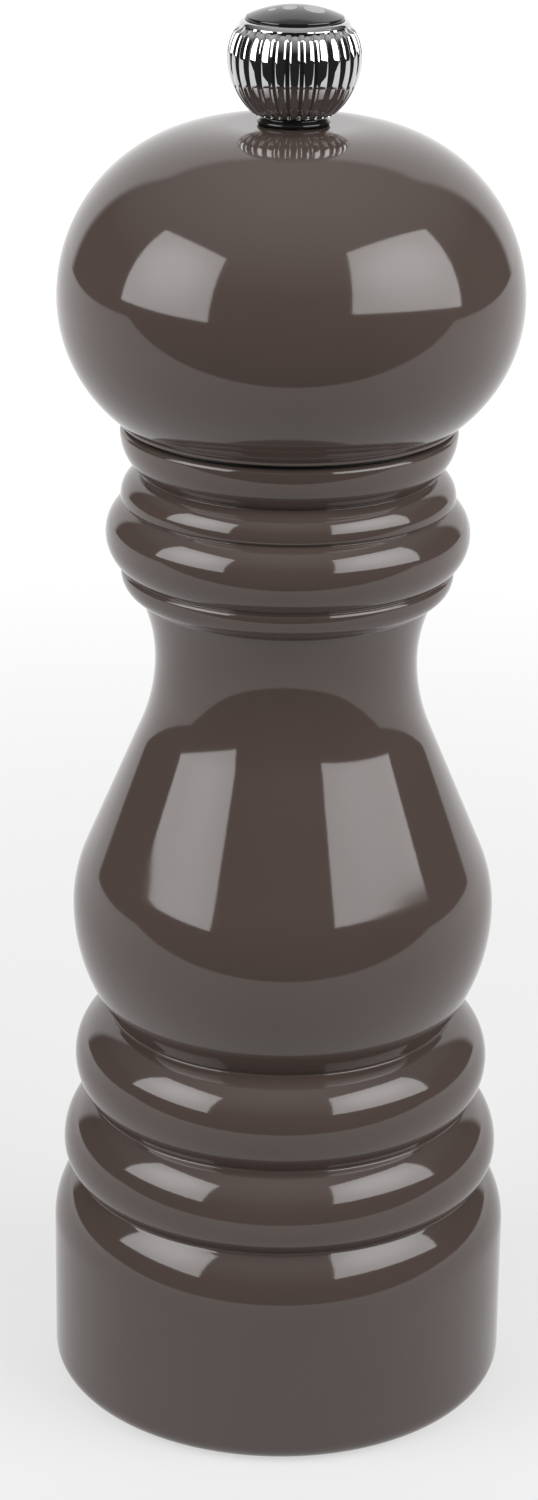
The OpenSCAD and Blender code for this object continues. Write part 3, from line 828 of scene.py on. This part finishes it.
@dataclass
class Knob:
    """The fluted chrome knob that sets the grind, with its washer and its glossy cap."""

    foot_r: float = 4.9
    belly_h: float = 6.6
    rim_r: float = 6.5
    seat_r: float = 5.9
    seat_depth: float = 0.7
    web: float = 0.8
    insert_r: float = 4.35
    flutes: int = 28
    across_flute: int = 12
    groove_share: float = 0.24
    groove_depth: float = 0.38
    cap_edge: float = 1.1
    cap_round: float = 0.12
    washer_bore_r: float = 2.53

    def flute(self, r: float, angle: float, z: float) -> float:
        """How far a point of the knob's outside lies below the flutes' crests.

        Args:
            r: the point's radius.
            angle: its angle about the axis, in radians.
            z: its height.

        Returns:
            A change of radius, 0 on a crest and negative in a groove.
        """
        foot, rim = low("knob_shell").z, high("knob_shell").z
        if r < self.insert_r + 0.2 or z > rim - 0.45 or z < foot + 0.02:
            return 0.0
        pitch = math.tau / self.flutes
        off = ((angle / pitch + 0.5) % 1.0) - 0.5
        half = 0.5 * pitch * r
        side = abs(off) * 2 * half
        top = rim - 0.75
        above = max(0.0, z - (top - half))
        inside = half - math.hypot(side, above)
        wide = 2 * half * self.groove_share
        crown = 0.06 * (side / half) ** 2
        in_ring = ease(rim - 0.62, rim - 0.5, z)
        return -(self.groove_depth * (1 - ease(-0.02, wide, inside)) + crown) * (1 - in_ring)

    def build(self) -> None:
        """Builds the shell, the cap and the washer."""
        foot, rim, widest = low("knob_shell").z, high("knob_shell").z, high("knob_shell").x
        seat = rim - self.seat_depth
        o = Outline(step=0.22).start(self.foot_r, foot)
        o.swell((widest, foot + self.belly_h), (self.foot_r, foot))
        shoulder = (self.rim_r, rim - 0.3)
        o.swell((widest, foot + self.belly_h), shoulder)
        o.line(self.rim_r - 0.1, rim - 0.1).line(self.rim_r - 0.3, rim).line(self.seat_r, rim).round(0.05)
        o.line(self.seat_r, seat).line(0.0, seat, 2)
        o.line(0.0, seat - self.web).line(self.insert_r, seat - self.web, 2)
        o.line(self.insert_r, foot, 3).close()
        mesh = o.turn(self.flutes * self.across_flute)
        shape(mesh, self.flute)
        piece(mesh, "fluted_knob", "knob", [Finishes.CHROME], ["knob_shell"], sharp_deg=50.0)
        self.cap()
        self.washer()

    def cap(self) -> None:
        """Turns the domed cap."""
        bottom, top, edge = low("knob_cap").z, high("knob_cap").z, high("knob_cap").x
        rise = top - bottom - self.cap_edge
        dome = (edge * edge + rise * rise) / (2 * rise)
        o = Outline(step=0.3).start(0.0, bottom).line(edge, bottom)
        o.line(edge, bottom + self.cap_edge, 2).round(self.cap_round)
        o.arc((0.0, top - dome), 0.0, top)
        o.close()
        piece(o.turn(96), "domed_cap", "knob", [Finishes.CAP], ["knob_cap"], sharp_deg=55.0)

    def washer(self) -> None:
        """Turns the black washer that the knob stands on, waisted between two lips."""
        bottom, top, outer = low("knob_washer").z, high("knob_washer").z, high("knob_washer").x
        inner = self.washer_bore_r
        o = Outline(step=0.1).start(inner, bottom).line(outer - 0.25, bottom).round(0.1)
        o.line(outer, bottom + 0.3).round(0.1).line(outer, bottom + 0.5).round(0.1)
        o.line(outer - 0.5, bottom + 0.8).round(0.1).line(outer - 0.5, top).line(inner, top).close()
        piece(o.turn(96), "knob_washer_moulded", "knob", [Finishes.WASHER], ["knob_washer"])


# ---------------------------------------------------------------- the grinder


@dataclass
class Grinder:
    """The steel grinder in the foot: housing, burrs, bridge, spring, washers, shaft and nut."""

    slots: dict[str, Finishes] = field(
        default_factory=lambda: {
            "housing": Finishes.SHEET_STEEL,
            "housing_screws": Finishes.SCREW_STEEL,
            "ring_burr": Finishes.BURR_STEEL,
            "bridge": Finishes.SHEET_STEEL,
            "bridge_rivets": Finishes.SCREW_STEEL,
            "shaft_bush": Finishes.NYLON,
            "spring_washer": Finishes.SHEET_STEEL,
            "spring": Finishes.SPRING_STEEL,
            "thrust_washer": Finishes.SHEET_STEEL,
            "male_burr": Finishes.BURR_STEEL,
            "shaft": Finishes.SHEET_STEEL,
            "foot_washer": Finishes.SHEET_STEEL,
            "foot_nut": Finishes.SCREW_STEEL,
            "drive_plate": Finishes.SHEET_STEEL,
            "drive_plate_screws": Finishes.SCREW_STEEL,
            "knob_insert": Finishes.BRASS,
        }
    )

    def dress(self) -> None:
        """Gives each CAD node that stays on show its finish."""
        for name, finish in self.slots.items():
            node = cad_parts[name]
            if not node.data.materials:
                node.data.materials.append(finish.material)
            for place in node.material_slots:
                place.material = finish.material
            log.info("%s: CAD node in %s", name, finish.material.name)

    def build(self) -> None:
        """Gives the grinder's CAD nodes their finishes."""
        self.dress()


# ---------------------------------------------------------------- the studio


@dataclass(frozen=True)
class Softbox:
    """A rectangular studio light.

    Args:
        name: its name.
        place: the middle of its face, in millimetres.
        width: its width in millimetres.
        height: its height in millimetres.
        roll: its turn about the way that it faces, in degrees.
        radiance: how bright the middle of its face is, where the white floor is about 1.
        edge_share: how bright its edges are, as a share of its middle.
    """

    name: str
    place: tuple[float, float, float]
    width: float
    height: float
    roll: float
    radiance: float
    edge_share: float = 0.72

    def build(self) -> None:
        """Puts up the light, upright and facing the mill."""
        lamp = bpy.data.lights.new(self.name, "AREA")
        lamp.shape = "RECTANGLE"
        lamp.size, lamp.size_y = mm(self.width), mm(self.height)
        lamp.energy = self.radiance * math.pi * lamp.size * lamp.size_y
        made = bpy.data.objects.new(self.name, lamp)
        bpy.context.scene.collection.objects.link(made)
        spot = Vector(self.place) * 0.001
        face = Vector((-spot.x, -spot.y, 0.0)).to_track_quat("-Z", "Y").to_matrix().to_4x4()
        made.matrix_world = Matrix.Translation(spot) @ face @ Matrix.Rotation(math.radians(self.roll), 4, "Z")
        made.visible_camera = False
        self.soften(lamp)

    def soften(self, lamp: bpy.types.AreaLight) -> None:
        """Makes the middle of the face brighter than its edges, as the bulb behind the cloth does.

        Args:
            lamp: the light to soften.
        """
        lamp.use_nodes = True
        tree = lamp.node_tree
        tree.nodes.clear()
        across = add(tree, "ShaderNodeNewGeometry").outputs["Parametric"]
        middle = (0.5, 0.5, 0.0)
        off = add(tree, "ShaderNodeVectorMath", {0: across, 1: middle}, operation="SUBTRACT").outputs[0]
        far = add(tree, "ShaderNodeVectorMath", {0: off}, operation="LENGTH").outputs["Value"]
        share = add(
            tree,
            "ShaderNodeMapRange",
            {"Value": far, "From Min": 0.1, "From Max": 0.6, "To Min": 1.0, "To Max": self.edge_share},
            interpolation_type="SMOOTHSTEP",
        ).outputs["Result"]
        glow = add(tree, "ShaderNodeEmission", {"Color": (1, 1, 1, 1), "Strength": share})
        add(tree, "ShaderNodeOutputLight", {"Surface": glow.outputs["Emission"]})


@dataclass
class Studio:
    """A table that a painted glow whitens, a white backdrop, two softboxes, and a dark room in front.

    Args:
        left: the light on the left.
        right: the light on the right.
        floor_mm: the side of the floor.
        table_front_mm: the y in front of which the floor looks dark to the mill.
        floor_colour: the floor's own colour.
        table_glow: how far the floor glows near the mill, a painted glow that whitens the floor, pales the
            mill's contact shadow and lights the mill from below.
        sweep_glow: how far it glows further out, a painted glow standing in for a lit sweep.
        glow_ends_mm: the distances at which the glow starts and stops to rise.
        backdrop: how bright the panel behind the table is.
        panel_aside: the backdrop's edges to the sides, as x over y: where it has gone and where it is full.
        panel_raised: the backdrop's upper edge, as z over y.
        ceiling: how bright the room is straight overhead.
        ceiling_from: the upward part of a direction at which the ceiling starts.
        room: how bright the rest of the room is, and how bright the dim glow is that every ray but the
            camera's meets on the floor past the table's front edge.
        camera_mm: where the camera stands.
        camera_down_deg: how far it looks down.
        camera_turn: its turn about its own axis of view, in radians.
        lens_mm: its focal length, on a sensor 36 mm across.
    """

    left: Softbox = Softbox("left_softbox", (-385.0, -192.0, 362.0), 390.0, 390.0, 0.0, 6.6)
    right: Softbox = Softbox("right_softbox", (382.0, -210.0, 410.0), 500.0, 430.0, -9.0, 6.6)
    floor_mm: float = 4000.0
    table_front_mm: float = -200.0
    floor_colour: str = "808080"
    table_glow: float = 0.6
    sweep_glow: float = 1.0
    glow_ends_mm: Point = (60.0, 600.0)
    backdrop: float = 1.2
    panel_aside: Point = (1.02, 0.8)
    panel_raised: Point = (1.4, 1.1)
    ceiling: float = 0.7
    ceiling_from: float = 0.35
    room: float = 0.03
    camera_mm: tuple[float, float, float] = (-2.0, -432.9, 249.0)
    camera_down_deg: float = 20.6
    camera_turn: float = 0.0125
    lens_mm: float = 87.6

    def build(self) -> None:
        """Sets up the floor, the lights, the world and the camera."""
        self.left.build()
        self.right.build()
        self.card("pale_floor", (0.0, 0.0, 0.0), self.floor_mm, self.floor_material())
        self.sky()
        self.camera()
        view = bpy.context.scene.view_settings
        view.view_transform, view.look, view.exposure, view.gamma = "Standard", "None", 0.0, 1.0

    def card(
        self, name: str, place: tuple[float, float, float], size: float, material: bpy.types.Material
    ) -> bpy.types.Object:
        """Lays down a square card.

        Args:
            name: its name.
            place: its middle, in millimetres.
            size: its side in millimetres.
            material: what it is covered with.

        Returns:
            The object.
        """
        mesh = bmesh.new()
        bmesh.ops.create_grid(mesh, x_segments=1, y_segments=1, size=mm(size / 2))
        bmesh.ops.translate(mesh, verts=mesh.verts, vec=Vector(place) * 0.001)
        data = bpy.data.meshes.new(name)
        mesh.to_mesh(data)
        mesh.free()
        data.materials.append(material)
        made = bpy.data.objects.new(name, data)
        bpy.context.scene.collection.objects.link(made)
        return made

    def floor_material(self) -> bpy.types.Material:
        """Grey matt laminate with a painted glow: it glows near the mill, which whitens it, pales the mill's
        contact shadow and lights the mill from below, and it glows more further out, standing in for a lit
        sweep.

        Past the table's front edge, every ray but the camera's meets a dim glow instead of the floor. This
        gives a painted dark reflection and painted shade on the mill, as a black cloth there would give.

        Returns:
            The material.
        """
        made = bpy.data.materials.new("grey_laminate_with_painted_glow")
        made.use_nodes = True
        tree = made.node_tree
        tree.nodes.clear()
        place = add(tree, "ShaderNodeTexCoord").outputs["Object"]
        out = add(tree, "ShaderNodeVectorMath", {0: place}, operation="LENGTH").outputs["Value"]
        # Painted glow: the floor emits light of its own, table_glow near the mill rising to sweep_glow
        # further out. This whitens the grey floor, pales the mill's contact shadow and lights the mill from
        # below.
        glow = add(
            tree,
            "ShaderNodeMapRange",
            {
                "Value": out,
                "From Min": mm(self.glow_ends_mm[0]),
                "From Max": mm(self.glow_ends_mm[1]),
                "To Min": self.table_glow,
                "To Max": self.sweep_glow,
            },
            interpolation_type="SMOOTHSTEP",
        ).outputs["Result"]
        shader = add(
            tree,
            "ShaderNodeBsdfPrincipled",
            {
                "Base Color": linear(self.floor_colour),
                "Roughness": 0.8,
                "Specular IOR Level": 0.0,
                "Emission Color": (1.0, 1.0, 1.0, 1.0),
                "Emission Strength": glow,
            },
        )
        # Painted dark reflection and painted shade: past the table's front edge, rays from the mill meet a
        # dim glow as bright as the room instead of the lit floor, while the camera still sees the floor.
        seen = add(tree, "ShaderNodeLightPath").outputs["Is Camera Ray"]
        unseen = add(tree, "ShaderNodeMath", {0: 1.0, 1: seen}, operation="SUBTRACT").outputs[0]
        y = add(tree, "ShaderNodeSeparateXYZ", {"Vector": place}).outputs["Y"]
        edge = mm(self.table_front_mm)
        front = add(tree, "ShaderNodeMath", {0: y, 1: edge}, operation="LESS_THAN").outputs[0]
        dark = add(tree, "ShaderNodeMath", {0: unseen, 1: front}, operation="MULTIPLY").outputs[0]
        cloth = add(tree, "ShaderNodeEmission", {"Color": (1, 1, 1, 1), "Strength": self.room})
        laid = add(
            tree, "ShaderNodeMixShader", {0: dark, 1: shader.outputs["BSDF"], 2: cloth.outputs["Emission"]}
        )
        add(tree, "ShaderNodeOutputMaterial", {"Surface": laid.outputs["Shader"]})
        return made

    def sky(self) -> None:
        """Makes the world: a white backdrop behind the table, a dim ceiling and a dark room in front."""
        world = bpy.data.worlds.new("studio_room")
        bpy.context.scene.world = world
        world.use_nodes = True
        tree = world.node_tree
        tree.nodes.clear()
        way = add(tree, "ShaderNodeTexCoord").outputs["Generated"]
        x, y, z = add(tree, "ShaderNodeSeparateXYZ", {"Vector": way}).outputs
        wide = add(tree, "ShaderNodeMath", {0: x}, operation="ABSOLUTE").outputs[0]
        depth = add(tree, "ShaderNodeMath", {0: y, 1: 0.001}, operation="MAXIMUM").outputs[0]
        aside = add(tree, "ShaderNodeMath", {0: wide, 1: depth}, operation="DIVIDE").outputs[0]
        raised = add(tree, "ShaderNodeMath", {0: z, 1: depth}, operation="DIVIDE").outputs[0]
        in_width = self.fade(tree, aside, self.panel_aside)
        in_height = self.fade(tree, raised, self.panel_raised)
        panel = add(tree, "ShaderNodeMath", {0: in_width, 1: in_height}, operation="MULTIPLY").outputs[0]
        overhead = add(
            tree,
            "ShaderNodeMapRange",
            {
                "Value": z,
                "From Min": self.ceiling_from,
                "From Max": 1.0,
                "To Min": self.room,
                "To Max": self.ceiling,
            },
        ).outputs["Result"]
        lit = add(
            tree, "ShaderNodeMapRange", {"Value": panel, "To Min": overhead, "To Max": self.backdrop}
        ).outputs["Result"]
        seen = add(tree, "ShaderNodeLightPath").outputs["Is Camera Ray"]
        strength = add(tree, "ShaderNodeMath", {0: lit, 1: seen}, operation="MAXIMUM").outputs[0]
        glow = add(tree, "ShaderNodeBackground", {"Color": (1, 1, 1, 1), "Strength": strength})
        add(tree, "ShaderNodeOutputWorld", {"Surface": glow.outputs["Background"]})

    def fade(
        self, tree: bpy.types.NodeTree, value: bpy.types.NodeSocket, ends: Point
    ) -> bpy.types.NodeSocket:
        """Adds a soft edge.

        Args:
            tree: the world's node tree.
            value: what to measure.
            ends: the values at which the result is 0 and 1.

        Returns:
            A socket from 0 to 1.
        """
        return add(
            tree,
            "ShaderNodeMapRange",
            {"Value": value, "From Min": ends[0], "From Max": ends[1]},
            interpolation_type="SMOOTHSTEP",
        ).outputs["Result"]

    def camera(self) -> None:
        """Puts up the camera, a little above the mill and looking down at it."""
        lens = bpy.data.cameras.new("camera")
        lens.lens, lens.sensor_width, lens.sensor_fit = self.lens_mm, 36.0, "AUTO"
        lens.clip_start, lens.clip_end = 0.01, 20.0
        made = bpy.data.objects.new("camera", lens)
        bpy.context.scene.collection.objects.link(made)
        tilt = Matrix.Rotation(math.radians(90 - self.camera_down_deg), 4, "X")
        turn = Matrix.Rotation(self.camera_turn, 4, "Z")
        made.matrix_world = Matrix.Translation(Vector(self.camera_mm) * 0.001) @ tilt @ turn
        bpy.context.scene.camera = made


def main() -> None:
    """Builds the mill and its studio."""
    logging.basicConfig(level=logging.INFO, format="%(message)s")
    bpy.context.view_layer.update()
    for part in (MillBody(), MillHead(), Knob(), Grinder(), Studio()):
        part.build()
        log.info("%s built", type(part).__name__)


if __name__ == "__main__":
    main()
